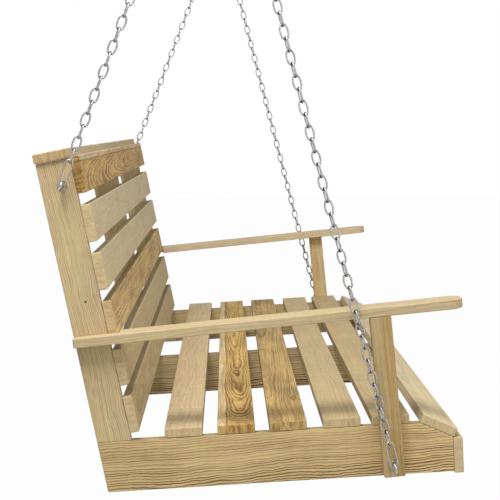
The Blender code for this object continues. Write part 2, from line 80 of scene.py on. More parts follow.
EYE_MEAN = 0.0075
BOLT_STANDOFF = 0.016
WASHER_WIDTH = 0.018
WASHER_THICKNESS = 0.0015
NUT_WIDTH = 0.010
NUT_HEIGHT = 0.005
THREAD_PROUD = 0.003
GAP = 0.0003
END_FACE = BENCH_LENGTH / 2
SIDES = (("right", -1), ("left", 1))

# Sizes of the looks only
ARRIS = 0.0005
FLARE_REACH = 0.055
WELD_HALF_LENGTH = 0.0016
WELD_SWELL = 0.13
CROWN_START = 0.80
CROWN_BLEND = 0.18
TWIST_PLAY = 3
END_CLEARANCE = 0.00005
SNAP_RADIUS = 0.00148
THREAD_PITCH = 0.001
FLOOR_HEIGHT = -1.66
FLOOR_WHITENESS = 0.975
LAMP_TARGET = Vector((0.1, 0, -1.1))
CAMERA_PLACE = (-2.92195, -0.2509, 0.6481)
FOCAL_PIXELS = 1212.29
PHOTOGRAPH_PIXELS = 500
SENSOR_WIDTH = 36

# The bench frame in the world
LEAN = Matrix.Rotation(-RECLINE, 4, "X")
CORNER = Vector((0, 0, APEX_HEIGHT)) - LEAN @ Vector((0, -APEX_PLACE[0], APEX_PLACE[1]))
BENCH = Matrix.Translation(CORNER) @ LEAN
UP = BENCH.to_3x3() @ Vector((0, 0, 1))
FRONT = BENCH.to_3x3() @ Vector((0, -1, 0))


def tilted(angle):
    """The directions up and front of a part that leans back by an angle in the bench."""
    turn = Matrix.Rotation(-angle, 3, "X")
    return turn @ UP, turn @ FRONT


BACK_UP, BACK_FRONT = tilted(RAKE)
ARM_UP, ARM_FRONT = tilted(ARM_TILT)
NOSE_UP, _ = tilted(-NOSE_ANGLE)
ALONG = Vector((1, 0, 0))


# Node helpers

class Net:
    """Short calls that add shader nodes to one tree."""

    def __init__(self, tree):
        self.tree = tree

    def add(self, kind, **settings):
        node = self.tree.nodes.new(kind)
        for key, value in settings.items():
            setattr(node, key, value)
        return node

    def put(self, socket, value):
        if isinstance(value, bpy.types.NodeSocket):
            self.tree.links.new(value, socket)
        else:
            socket.default_value = value

    def math(self, operation, *values, clamp=False):
        node = self.add("ShaderNodeMath", operation=operation, use_clamp=clamp)
        for socket, value in zip(node.inputs, values):
            self.put(socket, value)
        return node.outputs[0]

    def vector(self, operation, *values):
        node = self.add("ShaderNodeVectorMath", operation=operation)
        for socket, value in zip(node.inputs, values):
            self.put(socket, value)
        return node.outputs["Value" if operation == "LENGTH" else "Vector"]

    def join(self, x, y, z):
        node = self.add("ShaderNodeCombineXYZ")
        for socket, value in zip(node.inputs, (x, y, z)):
            self.put(socket, value)
        return node.outputs[0]

    def split(self, vector):
        node = self.add("ShaderNodeSeparateXYZ")
        self.put(node.inputs[0], vector)
        return node.outputs

    def noise(self, vector, seed=0.0, detail=2.0, rough=0.5, scale=1.0, out="Fac"):
        node = self.add("ShaderNodeTexNoise", noise_dimensions="4D")
        self.put(node.inputs["Vector"], vector)
        self.put(node.inputs["W"], seed)
        self.put(node.inputs["Scale"], scale)
        self.put(node.inputs["Detail"], detail)
        self.put(node.inputs["Roughness"], rough)
        return node.outputs[out]

    def smooth(self, value, low, high):
        """0 below low, 1 above high, and an S curve between. High may be the lower one."""
        node = self.add("ShaderNodeMapRange", interpolation_type="SMOOTHSTEP")
        for name, number in (("Value", value), ("From Min", low), ("From Max", high)):
            self.put(node.inputs[name], number)
        return node.outputs[0]

    def spread(self, value, low, high, new_low, new_high):
        node = self.add("ShaderNodeMapRange")
        numbers = (value, low, high, new_low, new_high)
        for socket, number in zip(node.inputs, numbers):
            self.put(socket, number)
        return node.outputs[0]

    def mix(self, factor, first, second, blend="MIX"):
        node = self.add("ShaderNodeMix", data_type="RGBA", blend_type=blend)
        self.put(node.inputs[0], factor)
        self.put(node.inputs[6], first)
        self.put(node.inputs[7], second)
        return node.outputs[2]

    def ramp(self, value, stops):
        """Levels between 0 and 1 along a value, from pairs of place and level."""
        node = self.add("ShaderNodeValToRGB")
        ramp = node.color_ramp
        while len(ramp.elements) < len(stops):
            ramp.elements.new(0.5)
        for element, (place, level) in zip(ramp.elements, stops):
            element.position = place
            element.color = (level, level, level, 1)
        self.put(node.inputs[0], value)
        return node.outputs[0]

    def seen_directly(self):
        """1 for a ray from the camera, off a mirror or through glass, and 0 for light on other surfaces."""
        rays = self.add("ShaderNodeLightPath").outputs
        mirrored = self.math("MAXIMUM", rays["Is Glossy Ray"], rays["Is Transmission Ray"])
        return self.math("MAXIMUM", rays["Is Camera Ray"], mirrored)


def new_group(name, inputs, outputs):
    """A shader node group, with its sockets given as pairs of label and kind."""
    group = bpy.data.node_groups.new(name, "ShaderNodeTree")
    for label, kind in inputs:
        group.interface.new_socket(label, in_out="INPUT", socket_type=f"NodeSocket{kind}")
    for label, kind in outputs:
        group.interface.new_socket(label, in_out="OUTPUT", socket_type=f"NodeSocket{kind}")
    net = Net(group)
    return net, net.add("NodeGroupInput").outputs, net.add("NodeGroupOutput").inputs, group


def use_group(net, group, **values):
    """The outputs of a copy of a group in a net, with its inputs set by name."""
    node = net.add("ShaderNodeGroup", node_tree=group)
    for label, value in values.items():
        net.put(node.inputs[label], value)
    return node.outputs


def new_material(name):
    """A material, the short calls for its tree, and its Principled shader."""
    material = bpy.data.materials.new(name)
    material.use_nodes = True
    return material, Net(material.node_tree), material.node_tree.nodes["Principled BSDF"]


def add_bump(net, shader, height, strength, distance):
    """Makes a height show in the light. The distance is in metres."""
    bump = net.add("ShaderNodeBump")
    bump.inputs["Strength"].default_value = strength
    bump.inputs["Distance"].default_value = distance
    net.put(bump.inputs["Height"], height)
    net.put(shader.inputs["Normal"], bump.outputs[0])


def linear(red, green, blue):
    """A colour given as 0 to 255 display levels, as the shader's linear values."""
    levels = [level / 255 for level in (red, green, blue)]
    return tuple(c / 12.92 if c <= 0.04045 else ((c + 0.055) / 1.055) ** 2.4 for c in levels) + (1.0,)


# Piece helpers

def place_object(name, data, place):
    """A new object in the scene, at a place given as a matrix."""
    piece = bpy.data.objects.new(name, data)
    bpy.context.scene.collection.objects.link(piece)
    piece.matrix_world = place
    return piece


def paint(piece, material):
    """Gives a piece one material."""
    piece.data.materials.clear()
    piece.data.materials.append(material)


def finish_piece(piece, material, slot, body, *nodes):
    """Gives a piece its material and its body, and hides the imported nodes that it stands for. The slot is
    not used.
    """
    paint(piece, material)
    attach(piece, body)
    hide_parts(*nodes)


def ease_edges(piece, least_turn):
    """Rounds the edges at which the faces turn by at least this many degrees."""
    bevel = piece.modifiers.new("eased edges", "BEVEL")
    bevel.width = ARRIS
    bevel.segments = 2
    bevel.limit_method = "ANGLE"
    bevel.angle_limit = math.radians(least_turn)


# Pine

def build_grain_group():
    """Growth rings round a pith line beside the board, cut by its faces, with fine fibres along them.

    Warp and wobble are the reach of the slow and the quick bends in the rings. Flare lifts the rings at the
    board's -X end, so that the face cuts them into arches there. Late is the dark late wood of each ring.
    """
    inputs = [
        ("Vector", "Vector"), ("Pith", "Vector"), ("Slope", "Vector"), ("Spacing", "Float"),
        ("Warp", "Float"), ("Wobble", "Float"), ("Flare", "Float"), ("Seed", "Float"),
    ]
    outputs = [("Late", "Float"), ("Fibre", "Float"), ("Streak", "Float"), ("Tone", "Float")]
    net, given, result, group = new_group("pine grain", inputs, outputs)
    place = given["Vector"]
    seed = given["Seed"]
    x, y, z = net.split(place)
    _, pith_y, pith_z = net.split(given["Pith"])
    _, slope_y, slope_z = net.split(given["Slope"])
    slow = net.noise(net.vector("MULTIPLY", place, (3.4, 4, 4)), seed, 1.5, 0.45, out="Color")
    quick_place = net.vector("MULTIPLY", place, (20, 26, 26))
    quick = net.noise(quick_place, net.math("ADD", seed, 7.3), 2.5, 0.62, out="Color")
    slow_y, slow_z, _ = net.split(net.vector("SUBTRACT", slow, (0.5, 0.5, 0.5)))
    quick_y, quick_z, _ = net.split(net.vector("SUBTRACT", quick, (0.5, 0.5, 0.5)))

    def off(axis, pith, slope, slow_part, quick_part):
        """The distance from the pith line along one axis, with the bends in it."""
        value = net.math("SUBTRACT", axis, net.math("MULTIPLY_ADD", slope, x, pith))
        value = net.math("MULTIPLY_ADD", slow_part, given["Warp"], value)
        return net.math("MULTIPLY_ADD", quick_part, given["Wobble"], value)

    across = off(y, pith_y, slope_y, slow_y, quick_y)
    deep = off(z, pith_z, slope_z, slow_z, quick_z)
    from_end = net.math("ADD", x, END_FACE)
    near_end = net.math("POWER", math.e, net.math("MULTIPLY", from_end, -1 / FLARE_REACH))
    deep = net.math("MULTIPLY_ADD", given["Flare"], near_end, deep)
    radius = net.vector("LENGTH", net.join(0.0, across, deep))
    count = net.math("DIVIDE", radius, given["Spacing"])
    uneven = net.noise(net.join(net.math("MULTIPLY", count, 0.33), 0.0, 0.0), seed, 2.0)
    count = net.math("MULTIPLY_ADD", uneven, 2.4, count)
    phase = net.math("FRACT", count)
    late = net.ramp(phase, [(0.0, 0.14), (0.22, 0.0), (0.52, 0.16), (0.76, 0.72), (0.91, 1.0), (1.0, 0.14)])
    white = net.add("ShaderNodeTexWhiteNoise", noise_dimensions="2D")
    net.put(white.inputs["Vector"], net.join(net.math("FLOOR", count), seed, 0.0))
    strength = net.spread(white.outputs["Value"], 0.0, 1.0, 0.40, 1.0)
    net.put(result["Late"], net.math("MULTIPLY", late, strength))
    bent = net.join(x, across, deep)
    fibre_place = net.vector("MULTIPLY", bent, (28, 950, 950))
    net.put(result["Fibre"], net.noise(fibre_place, seed, 3.0, 0.65))
    streak_place = net.vector("MULTIPLY", bent, (5, 280, 280))
    net.put(result["Streak"], net.noise(streak_place, net.math("ADD", seed, 2.2), 2.5, 0.6))
    tone_place = net.vector("MULTIPLY", place, (5, 22, 22))
    net.put(result["Tone"], net.noise(tone_place, net.math("ADD", seed, 4.4), 3.0, 0.55))
    return group


def build_knot_group():
    """A knot through the board's thickness. It pushes the grain aside and has rings and a rim of its own.

    Size is its half width, long its length over its width, and lean how far it slants along the board.
    """
    inputs = [
        ("Vector", "Vector"), ("Centre", "Vector"), ("Size", "Float"), ("Lean", "Float"), ("Long", "Float"),
    ]
    outputs = [("Vector", "Vector"), ("Core", "Float"), ("Rim", "Float"), ("Rings", "Float")]
    net, given, result, group = new_group("pine knot", inputs, outputs)
    x, y, z = net.split(given["Vector"])
    centre_x, centre_y, _ = net.split(given["Centre"])
    size = given["Size"]
    dx = net.math("SUBTRACT", x, net.math("MULTIPLY_ADD", given["Lean"], z, centre_x))
    dy = net.math("SUBTRACT", y, centre_y)
    bumpy = net.noise(net.vector("MULTIPLY", given["Vector"], (160, 160, 160)), 1.7, 2.0)
    reach = net.vector("LENGTH", net.join(net.math("DIVIDE", dx, given["Long"]), dy, 0.0))
    reach = net.math("DIVIDE", reach, size)
    reach = net.math("MULTIPLY_ADD", net.math("SUBTRACT", bumpy, 0.5), 0.5, reach)
    fall_x = net.math("DIVIDE", dx, net.math("MULTIPLY", size, net.math("MULTIPLY", given["Long"], 3.4)))
    fall_y = net.math("DIVIDE", dy, net.math("MULTIPLY", size, 2.6))
    fall = net.math("ADD", net.math("MULTIPLY", fall_x, fall_x), net.math("MULTIPLY", fall_y, fall_y))
    near = net.math("POWER", math.e, net.math("MULTIPLY", fall, -1.0))
    pushed = net.math("SUBTRACT", y, net.math("MULTIPLY", dy, net.math("MULTIPLY", near, 0.88)))
    net.put(result["Vector"], net.join(x, pushed, z))
    net.put(result["Core"], net.smooth(reach, 1.0, 0.75))
    inside = net.smooth(reach, 0.62, 0.95)
    outside = net.smooth(reach, 1.35, 0.98)
    net.put(result["Rim"], net.math("MULTIPLY", inside, outside))
    net.put(result["Rings"], net.math("FRACT", net.math("MULTIPLY", reach, 3.3)))
    return group


GRAIN = build_grain_group()
KNOT = build_knot_group()

# A knot's tints are those of its pale rings, its dark rings and its rim.
GREY_KNOT = (linear(112, 98, 82), linear(84, 72, 60), linear(96, 80, 58))
SOFT_KNOT = (linear(158, 124, 72), linear(140, 104, 56), linear(122, 84, 38))

PALE_ENDS = (linear(206, 184, 142), linear(184, 158, 114))
# The colour of the painted highlights along the arrises.
ARRIS_HIGHLIGHT = linear(226, 208, 172)


def add_stain(net, grain, late, colour, dark, stain):
    """Patches of another tint, with the same late wood in them."""
    tint, amount = stain
    tone = net.smooth(grain["Tone"], 0.42, 0.70)
    return net.mix(net.math("MULTIPLY", tone, amount), colour, net.mix(late, tint, dark))


def add_sap(net, grain, late, across, colour, dark, sap, sap_line):
    """A band of sap wood along one side of the board, with a dark line beside it."""
    sap_colour, start, end = sap
    band = net.math("MULTIPLY_ADD", net.math("SUBTRACT", grain["Tone"], 0.5), 0.012, across)
    sap_wood = net.mix(net.math("MULTIPLY", late, 0.25), sap_colour, dark)
    colour = net.mix(net.smooth(band, start, end), colour, sap_wood)
    off_line = net.math("ABSOLUTE", net.math("SUBTRACT", band, start - 0.0006))
    return net.mix(net.math("MULTIPLY", net.smooth(off_line, 0.0022, 0.0006), sap_line), colour, dark)


def add_knot(net, knot, colour, tints):
    """The rings and the rim of a knot."""
    light_ring, dark_ring, rim = tints
    core_colour = net.mix(net.smooth(knot["Rings"], 0.35, 0.95), light_ring, dark_ring)
    colour = net.mix(knot["Core"], colour, core_colour)
    return net.mix(net.math("MULTIPLY", knot["Rim"], 0.75), colour, rim)


def add_painted_arris_highlights(net, grain, across, deep, half, colour, pale):
    """A painted highlight: paler wood here and there along the board's long edges."""
    to_side = net.math("SUBTRACT", half[0], net.math("ABSOLUTE", across))
    to_face = net.math("SUBTRACT", half[1], net.math("ABSOLUTE", deep))
    arris = net.smooth(net.math("MAXIMUM", to_side, to_face), 0.0032, 0.0006)
    highlight_amount = net.math("MULTIPLY", arris, net.spread(grain["Streak"], 0.35, 0.7, 0.0, 0.30))
    return net.mix(highlight_amount, colour, net.mix(0.5, pale, ARRIS_HIGHLIGHT))


def add_end_grain(net, place, late, facing, colour, tints, seed):
    """Bands of two tints on the board's ends."""
    bands = net.noise(net.vector("MULTIPLY", place, (3, 230, 60)), seed + 5.5, 2.0, 0.5)
    bands = net.math("MULTIPLY_ADD", late, 0.30, net.smooth(bands, 0.36, 0.70), clamp=True)
    return net.mix(net.math("MULTIPLY", facing, 0.85), colour, net.mix(bands, *tints))


def wood_shade(net, grain, place, along, shaded_narrow_faces, seed, ripple, mottle, streak, edge, fade):
    """The brightness of the wood: streaks, fibres, clouds and ripples, painted shade on the narrow faces,
    and the fade.
    """
    streaks = net.spread(grain["Streak"], 0.3, 0.7, 1 - streak, 1 + streak)
    fibres = net.spread(grain["Fibre"], 0.25, 0.75, 0.92, 1.07)
    cloud = net.spread(grain["Tone"], 0.3, 0.7, 1 - mottle, 1 + mottle)
    ripples = net.noise(net.vector("MULTIPLY", place, (75, 9, 9)), seed + 9.1, 2.0, 0.6)
    ripples = net.spread(ripples, 0.3, 0.7, 1 - ripple, 1 + ripple)
    # Painted shade: the narrow faces go down to the edge level.
    shade = net.spread(shaded_narrow_faces, 0.0, 1.0, 1.0, edge)
    for part in (streaks, fibres, cloud, ripples):
        shade = net.math("MULTIPLY", shade, part)
    if fade:
        start, end, level = fade
        change = net.math("MULTIPLY_ADD", net.smooth(along, start, end), level - 1, 1.0)
        shade = net.math("MULTIPLY", shade, change)
    return shade


def pine(
    name, half, pale, dark, pith, slope, spacing, warp, wobble, seed, contrast,
    patchy=0.7, stain=None, sap=None, sap_line=0.5, knots=(), knot_tints=GREY_KNOT, ends=PALE_ENDS,
    ripple=0.03, mottle=0.06, streak=0.13, edge=0.85, flare=0.0, strong_side=None, fade=None,
):
    """The material of one board.

    Half is half its width and thickness. Pale and dark are the colours of its early and late wood. Pith,
    slope, spacing, warp, wobble, flare and seed go to the grain. Contrast is the strength of the late wood,
    and patchy that of its weak patches over that of its strong ones. Stain is a tint and its strength. Sap
    is a band's colour and the two places across the board between which it begins, and sap_line is the
    strength of the dark line beside it. A knot is the two places of its centre, its size, its lean and its
    length over its width. Ends are the two tints of the end grain. Ripple, mottle and streak are changes of
    brightness, and edge is the brightness of the narrow faces, a painted shade on them. Strong_side is
    the two places across the board between which the late wood grows stronger. Fade is the two places
    along it between which the brightness goes to a level.
    """
    material, net, shader = new_material(name)
    coordinates = net.add("ShaderNodeTexCoord")
    place = coordinates.outputs["Object"]
    along, across, deep = net.split(place)
    normal_x, normal_y, _ = net.split(coordinates.outputs["Normal"])
    facing_end = net.smooth(net.math("ABSOLUTE", normal_x), 0.6, 0.9)
    # The narrow faces, which wood_shade darkens as painted shade.
    shaded_narrow_faces = net.smooth(net.math("ABSOLUTE", normal_y), 0.6, 0.9)
    cores = []
    for centre_x, centre_y, size, lean, long in knots:
        centre = (centre_x, centre_y, 0)
        knot = use_group(net, KNOT, Vector=place, Centre=centre, Size=size, Lean=lean, Long=long)
        place = knot["Vector"]
        cores.append(knot)
    grain = use_group(
        net, GRAIN, Vector=place, Pith=(0, *pith), Slope=(0, *slope),
        Spacing=spacing, Warp=warp, Wobble=wobble, Flare=flare, Seed=seed,
    )

    strength = net.spread(grain["Tone"], 0.32, 0.62, contrast * 1.1, contrast * patchy)
    late = net.math("MULTIPLY", grain["Late"], strength)
    if strong_side:
        late = net.math("MULTIPLY", late, net.spread(across, *strong_side, 0.60, 1.25), clamp=True)
    colour = net.mix(late, pale, dark)
    if stain:
        colour = add_stain(net, grain, late, colour, dark, stain)
    if sap:
        colour = add_sap(net, grain, late, across, colour, dark, sap, sap_line)
    shade = wood_shade(net, grain, place, along, shaded_narrow_faces, seed, ripple, mottle, streak, edge, fade)
    colour = net.mix(1.0, colour, net.join(shade, shade, shade), "MULTIPLY")
    height = net.math("MULTIPLY_ADD", grain["Late"], 0.5, net.math("MULTIPLY", grain["Fibre"], 0.5))
    for knot in cores:
        colour = add_knot(net, knot, colour, knot_tints)
        height = net.math("MULTIPLY_ADD", knot["Rim"], -0.5, height)
    # Painted highlights along the long edges.
    colour = add_painted_arris_highlights(net, grain, across, deep, half, colour, pale)
    colour = add_end_grain(net, place, late, facing_end, colour, ends, seed)
    net.put(shader.inputs["Base Color"], colour)
    rough = net.spread(grain["Late"], 0.0, 1.0, 0.66, 0.52)
    rough = net.math("MULTIPLY_ADD", net.math("SUBTRACT", grain["Fibre"], 0.5), 0.14, rough)
    net.put(shader.inputs["Roughness"], rough)
    shader.inputs["Specular IOR Level"].default_value = 0.08
    add_bump(net, shader, height, strength=0.45, distance=0.0006)
    return material


# Timber pieces

def board_frame(node, grain, face):
    """A board's own frame, X along its grain and Z out of its main face, and its half sizes."""
    across = face.cross(grain)
    turn = Matrix((grain, across, face)).transposed()
    points = [turn.transposed() @ v.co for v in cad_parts[node].data.vertices]
    low = Vector([min(p[i] for p in points) for i in range(3)])
    high = Vector([max(p[i] for p in points) for i in range(3)])
    return Matrix.Translation(turn @ ((low + high) / 2)) @ turn.to_4x4(), (high - low) / 2


def dress_board(node, grain, face, slot, **look):
    """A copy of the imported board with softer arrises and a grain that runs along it."""
    place, half = board_frame(node, grain, face)
    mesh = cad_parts[node].data.copy()
    mesh.transform(place.inverted())
    shape = bmesh.new()
    shape.from_mesh(mesh)
    bmesh.ops.remove_doubles(shape, verts=shape.verts, dist=1e-5)
    bmesh.ops.dissolve_limit(shape, angle_limit=math.radians(1), verts=shape.verts, edges=shape.edges)
    for side in shape.faces:
        side.smooth = True
    shape.to_mesh(mesh)
    shape.free()
    piece = place_object(f"{node}_board", mesh, place)
    ease_edges(piece, 25)
    piece.modifiers.new("flat faces", "WEIGHTED_NORMAL")
    finish_piece(piece, pine(f"{node} pine", (half.y, half.z), **look), slot, "swing", node)


GREEN = linear(188, 176, 122)
PINK = linear(204, 172, 134)


def dress_frames():
    """Rails with strong straight grain, and posts with a finer and paler one."""
    outwards = Vector((-1, 0, 0))
    rail_look = dict(
        dark=linear(92, 60, 20), spacing=0.0044, warp=0.045, wobble=0.011, contrast=1.75, patchy=0.6,
        stain=(GREEN, 0.25), mottle=0.13, edge=0.62, strong_side=(0.02, -0.035),
    )
    rails = (
        ("right_rail", dict(
            pale=linear(210, 184, 134), pith=(-0.105, -0.040), slope=(0.020, 0.01), seed=3.1,
            fade=(0.08, 0.24, 1.12),
        )),
        ("centre_rail", dict(
            pale=linear(186, 162, 122), pith=(-0.09, -0.03), slope=(0.020, 0.00), seed=12.7,
        )),
        ("left_rail", dict(
            pale=linear(196, 170, 126), pith=(0.10, -0.03), slope=(-0.020, 0.00), seed=25.2,
        )),
    )
    for node, change in rails:
        dress_board(node, FRONT, outwards, "pine_frame", **{**rail_look, **change})
    post_look = dict(
        pale=linear(204, 182, 142), dark=linear(132, 100, 58), spacing=0.0030, warp=0.030, wobble=0.014,
        contrast=0.95, patchy=0.5, stain=(GREEN, 0.40),
    )
    posts = (
        ("right_post", dict(
            pith=(0.085, -0.045), slope=(0.020, 0.02), seed=5.4,
            knots=((0.050, -0.004, 0.0020, 0.1, 1.2),), knot_tints=GREY_KNOT,
        )),
        ("centre_post", dict(pith=(-0.080, -0.040), slope=(0.012, 0.02), seed=8.8)),
        ("left_post", dict(
            pale=linear(216, 197, 158), pith=(0.020, -0.045), slope=(-0.012, 0.01), seed=17.6,
        )),
    )
    for node, change in posts:
        dress_board(node, BACK_UP, outwards, "pine_frame", **{**post_look, **change})


def dress_back():
    """Back slats from the top down: two are brown and figured, the others pale and plain."""
    figured = dict(
        pale=linear(210, 175, 113), dark=linear(122, 82, 30), warp=0.022, wobble=0.0060, contrast=1.5,
        spacing=0.0029, mottle=0.18, streak=0.24, edge=0.7, patchy=0.6,
    )
    smooth = dict(
        pale=linear(224, 204, 166), dark=linear(150, 122, 78), warp=0.030, wobble=0.010, contrast=0.35,
        spacing=0.0044, mottle=0.09, streak=0.08, ripple=0.045, edge=0.76, stain=(GREEN, 0.3),
    )
    slats = (
        ("pine_back_brown", figured, dict(
            pith=(-0.004, -0.040), slope=(0.030, 0.030), flare=0.016,
            ends=(linear(190, 155, 94), linear(130, 92, 42)), sap=(linear(212, 190, 148), 0.0235, 0.0255),
        )),
        ("pine_back_pale", smooth, dict(pith=(0.050, -0.060), slope=(0.01, 0.012))),
        ("pine_back_pale", smooth, dict(pith=(-0.055, -0.050), slope=(0.01, 0.014))),
        ("pine_back_brown", figured, dict(
            pale=linear(218, 188, 131), pith=(-0.026, -0.044), slope=(0.004, 0.012), contrast=1.1,
            mottle=0.22,
        )),
        ("pine_back_pale", smooth, dict(
            pale=linear(212, 190, 147), pith=(0.045, -0.040), slope=(0.01, 0.020), contrast=0.55,
            mottle=0.08,
        )),
        ("pine_back_pale", smooth, dict(
            pale=linear(207, 184, 141), pith=(0.0, -0.045), slope=(0.0, 0.022), contrast=0.6,
            mottle=0.08,
        )),
    )
    for index, (slot, look, change) in enumerate(slats):
        seed = 30.0 + 3.7 * index
        dress_board(f"back_slat_{index + 1}", ALONG, BACK_FRONT, slot, seed=seed, **{**look, **change})


def dress_seat():
    """Seat slats from the rear: the second and third are golden brown, the others and the nosing pale."""
    pale_seat = dict(
        pale=linear(202, 181, 142), dark=linear(150, 120, 76), warp=0.028, wobble=0.008, contrast=0.42,
        spacing=0.0046, mottle=0.06, streak=0.08, ripple=0.05, edge=0.8, stain=(GREEN, 0.3),
    )
    golden = dict(
        pale=linear(196, 165, 101), dark=linear(122, 80, 28), warp=0.016, wobble=0.0050, contrast=1.9,
        spacing=0.0024, mottle=0.26, streak=0.30, edge=0.6, patchy=0.6,
    )
    slats = (
        ("pine_seat_pale", pale_seat, dict(
            pith=(0.040, -0.050), slope=(0.01, 0.012), streak=0.13, stain=(PINK, 0.4),
        )),
        ("pine_seat_orange", golden, dict(
            pith=(-0.006, -0.026), slope=(0.006, 0.014), flare=0.024,
            ends=(linear(206, 172, 110), linear(142, 104, 52)), sap=(linear(204, 182, 138), 0.0185, 0.0205),
        )),
        ("pine_seat_brown", golden, dict(
            pale=linear(180, 152, 99), dark=linear(88, 56, 18), pith=(0.024, -0.046), slope=(-0.012, 0.003),
            warp=0.010, knots=((-0.590, -0.020, 0.0065, 0.15, 2.4),), knot_tints=SOFT_KNOT, mottle=0.38,
            contrast=1.15, streak=0.26, ends=(linear(204, 176, 124), linear(150, 114, 62)),
        )),
        ("pine_seat_pale", pale_seat, dict(
            pale=linear(194, 173, 132), pith=(-0.050, -0.050), slope=(0.01, 0.010),
        )),
        ("pine_seat_pale", pale_seat, dict(
            pale=linear(190, 168, 128), pith=(0.045, -0.055), slope=(0.01, 0.010),
        )),
    )
    for index, (slot, look, change) in enumerate(slats):
        seed = 60.0 + 4.1 * index
        dress_board(f"seat_slat_{index + 1}", ALONG, UP, slot, seed=seed, **{**look, **change})
    dress_board(
        "nosing_slat", ALONG, NOSE_UP, "pine_seat_pale", seed=91.3, pith=(0.02, -0.06), slope=(0.0, 0.014),
        **{**pale_seat, "pale": linear(214, 196, 158), "ripple": 0.03},
    )


def dress_trim():
    """The fascia, the cap board, and the armrests on their posts."""
    trim = dict(
        pale=linear(206, 186, 144), dark=linear(150, 120, 72), warp=0.020, wobble=0.008, contrast=0.55,
        spacing=0.0038, mottle=0.05, streak=0.10, edge=1.0, stain=(GREEN, 0.4),
    )
    dress_board(
        "front_fascia", ALONG, FRONT, "pine_trim", seed=97.9, pith=(0.05, -0.04), slope=(0.0, 0.02),
        **{**trim, "ends": (linear(205, 186, 150), linear(190, 168, 130))},
    )
    dress_board(
        "top_cap", ALONG, BACK_UP, "pine_trim", seed=103.3, pith=(0.03, -0.05), slope=(0.0, 0.016),
        **{**trim, "pale": linear(210, 191, 156), "ends": (linear(192, 166, 118), linear(168, 138, 92))},
    )
    arm_ends = (linear(204, 184, 146), linear(190, 168, 128))
    arm_tones = (
        (linear(201, 181, 144), linear(184, 156, 106), linear(186, 163, 119)),
        (linear(208, 190, 158), linear(206, 179, 128), linear(198, 177, 134)),
    )
    for (label, side), (rest_tone, post_tone, post_sap) in zip(SIDES, arm_tones):
        dress_board(
            f"{label}_armrest", ARM_FRONT, ARM_UP, "pine_trim", seed=110.0 + side, pith=(0.030, -0.045),
            slope=(0.0, 0.024), **{**trim, "pale": rest_tone, "ends": arm_ends},
        )
        dress_board(
            f"{label}_arm_post", ARM_UP, Vector((side, 0, 0)), "pine_arm_post", pale=post_tone,
            dark=linear(140, 102, 52), pith=(0.060, -0.050), slope=(0.0, 0.02), spacing=0.0026, warp=0.014,
            wobble=0.006, contrast=0.6, seed=120.0 + side, stain=(PINK, 0.3), sap_line=0.15, streak=0.20,
            sap=(post_sap, -0.004, 0.005), edge=1.0,
        )


# Steel

def zinc(name, tint, crown=False, mottle=0.38):
    """Plated steel: a tint with duller patches, and darker crowns on chain links, where each hangs in the
    next.
    """
    material, net, shader = new_material(name)
    place = net.add("ShaderNodeTexCoord").outputs["Object"]
    cells = net.add("ShaderNodeTexVoronoi", feature="F1")
    net.put(cells.inputs["Vector"], place)
    cells.inputs["Scale"].default_value = 420.0
    patch = net.split(cells.outputs["Color"])[0]
    cloud = net.noise(place, 0.0, 3.0, 0.6, 260.0)
    tone = net.math("MULTIPLY_ADD", patch, 0.35, net.math("MULTIPLY", cloud, 0.65))
    bright = tint + (1.0,)
    dull = tuple(level * (1 - mottle) for level in tint) + (1.0,)
    colour = net.mix(net.smooth(tone, 0.30, 0.66), dull, bright)
    if crown:
        # Darker towards the crowns, where each link hangs in the next.
        crown_darkening = net.add("ShaderNodeAttribute", attribute_name="crown").outputs["Fac"]
        colour = net.mix(net.math("MULTIPLY", crown_darkening, 0.85), colour, linear(52, 50, 48))
    net.put(shader.inputs["Base Color"], colour)
    net.put(shader.inputs["Roughness"], net.spread(cloud, 0.3, 0.7, 0.26, 0.46))
    shader.inputs["Metallic"].default_value = 1.0
    add_bump(net, shader, cloud, strength=0.25, distance=0.0002)
    return material


CHAIN_ZINC = zinc("chain zinc", (0.46, 0.455, 0.45), crown=True)
FITTING_ZINC = zinc("fitting zinc", (0.50, 0.50, 0.495))
# The snap hooks and the outer washers are tinted warm and darker, a painted reflection of the wood round
# them.
SNAP_ZINC_PAINTED_REFLECTION = zinc("snap hook zinc", (0.44, 0.42, 0.35), mottle=0.15)
WASHER_ZINC_PAINTED_REFLECTION = zinc("washer zinc", (0.45, 0.39, 0.27))
# Yellow passivated zinc, made darker as painted shade, for the inner washers and the nuts.
SHADED_YELLOW_ZINC = zinc("yellow passivated zinc", (0.30, 0.22, 0.10))


def circle_points(steps):
    """Cosine and sine of evenly spaced angles round a circle."""
    for step in range(steps):
        angle = 2 * math.pi * step / steps
        yield math.cos(angle), math.sin(angle)


def sweep(shape, path, radii, sides, cyclic, layer=None, marks=None):
    """Adds a round bar along a path to a bmesh, without twist. A layer takes a mark for each section."""
    count = len(path)
    tangents = []
    for i, point in enumerate(path):
        before = path[i - 1] if cyclic or i else point
        after = path[(i + 1) % count] if cyclic or i < count - 1 else point
        tangents.append((after - before).normalized())
    normal = tangents[0].orthogonal().normalized()
    rings = []
    for i, point in enumerate(path):
        normal = (normal - tangents[i] * normal.dot(tangents[i])).normalized()
        side = tangents[i].cross(normal)
        ring = []
        for c, s in circle_points(sides):
            vertex = shape.verts.new(point + (normal * c + side * s) * radii[i])
            if layer:
                vertex[layer] = marks[i]
            ring.append(vertex)
        rings.append(ring)
    pairs = list(zip(rings, rings[1:]))
    if cyclic:
        turn = min(range(sides), key=lambda k: (rings[0][k].co - rings[-1][0].co).length)
        pairs.append((rings[-1], rings[0][turn:] + rings[0][:turn]))
    for first, second in pairs:
        for k in range(sides):
            following = (k + 1) % sides
            shape.faces.new((first[k], first[following], second[following], second[k]))
    if not cyclic:
        shape.faces.new(reversed(rings[0]))
        shape.faces.new(rings[-1])


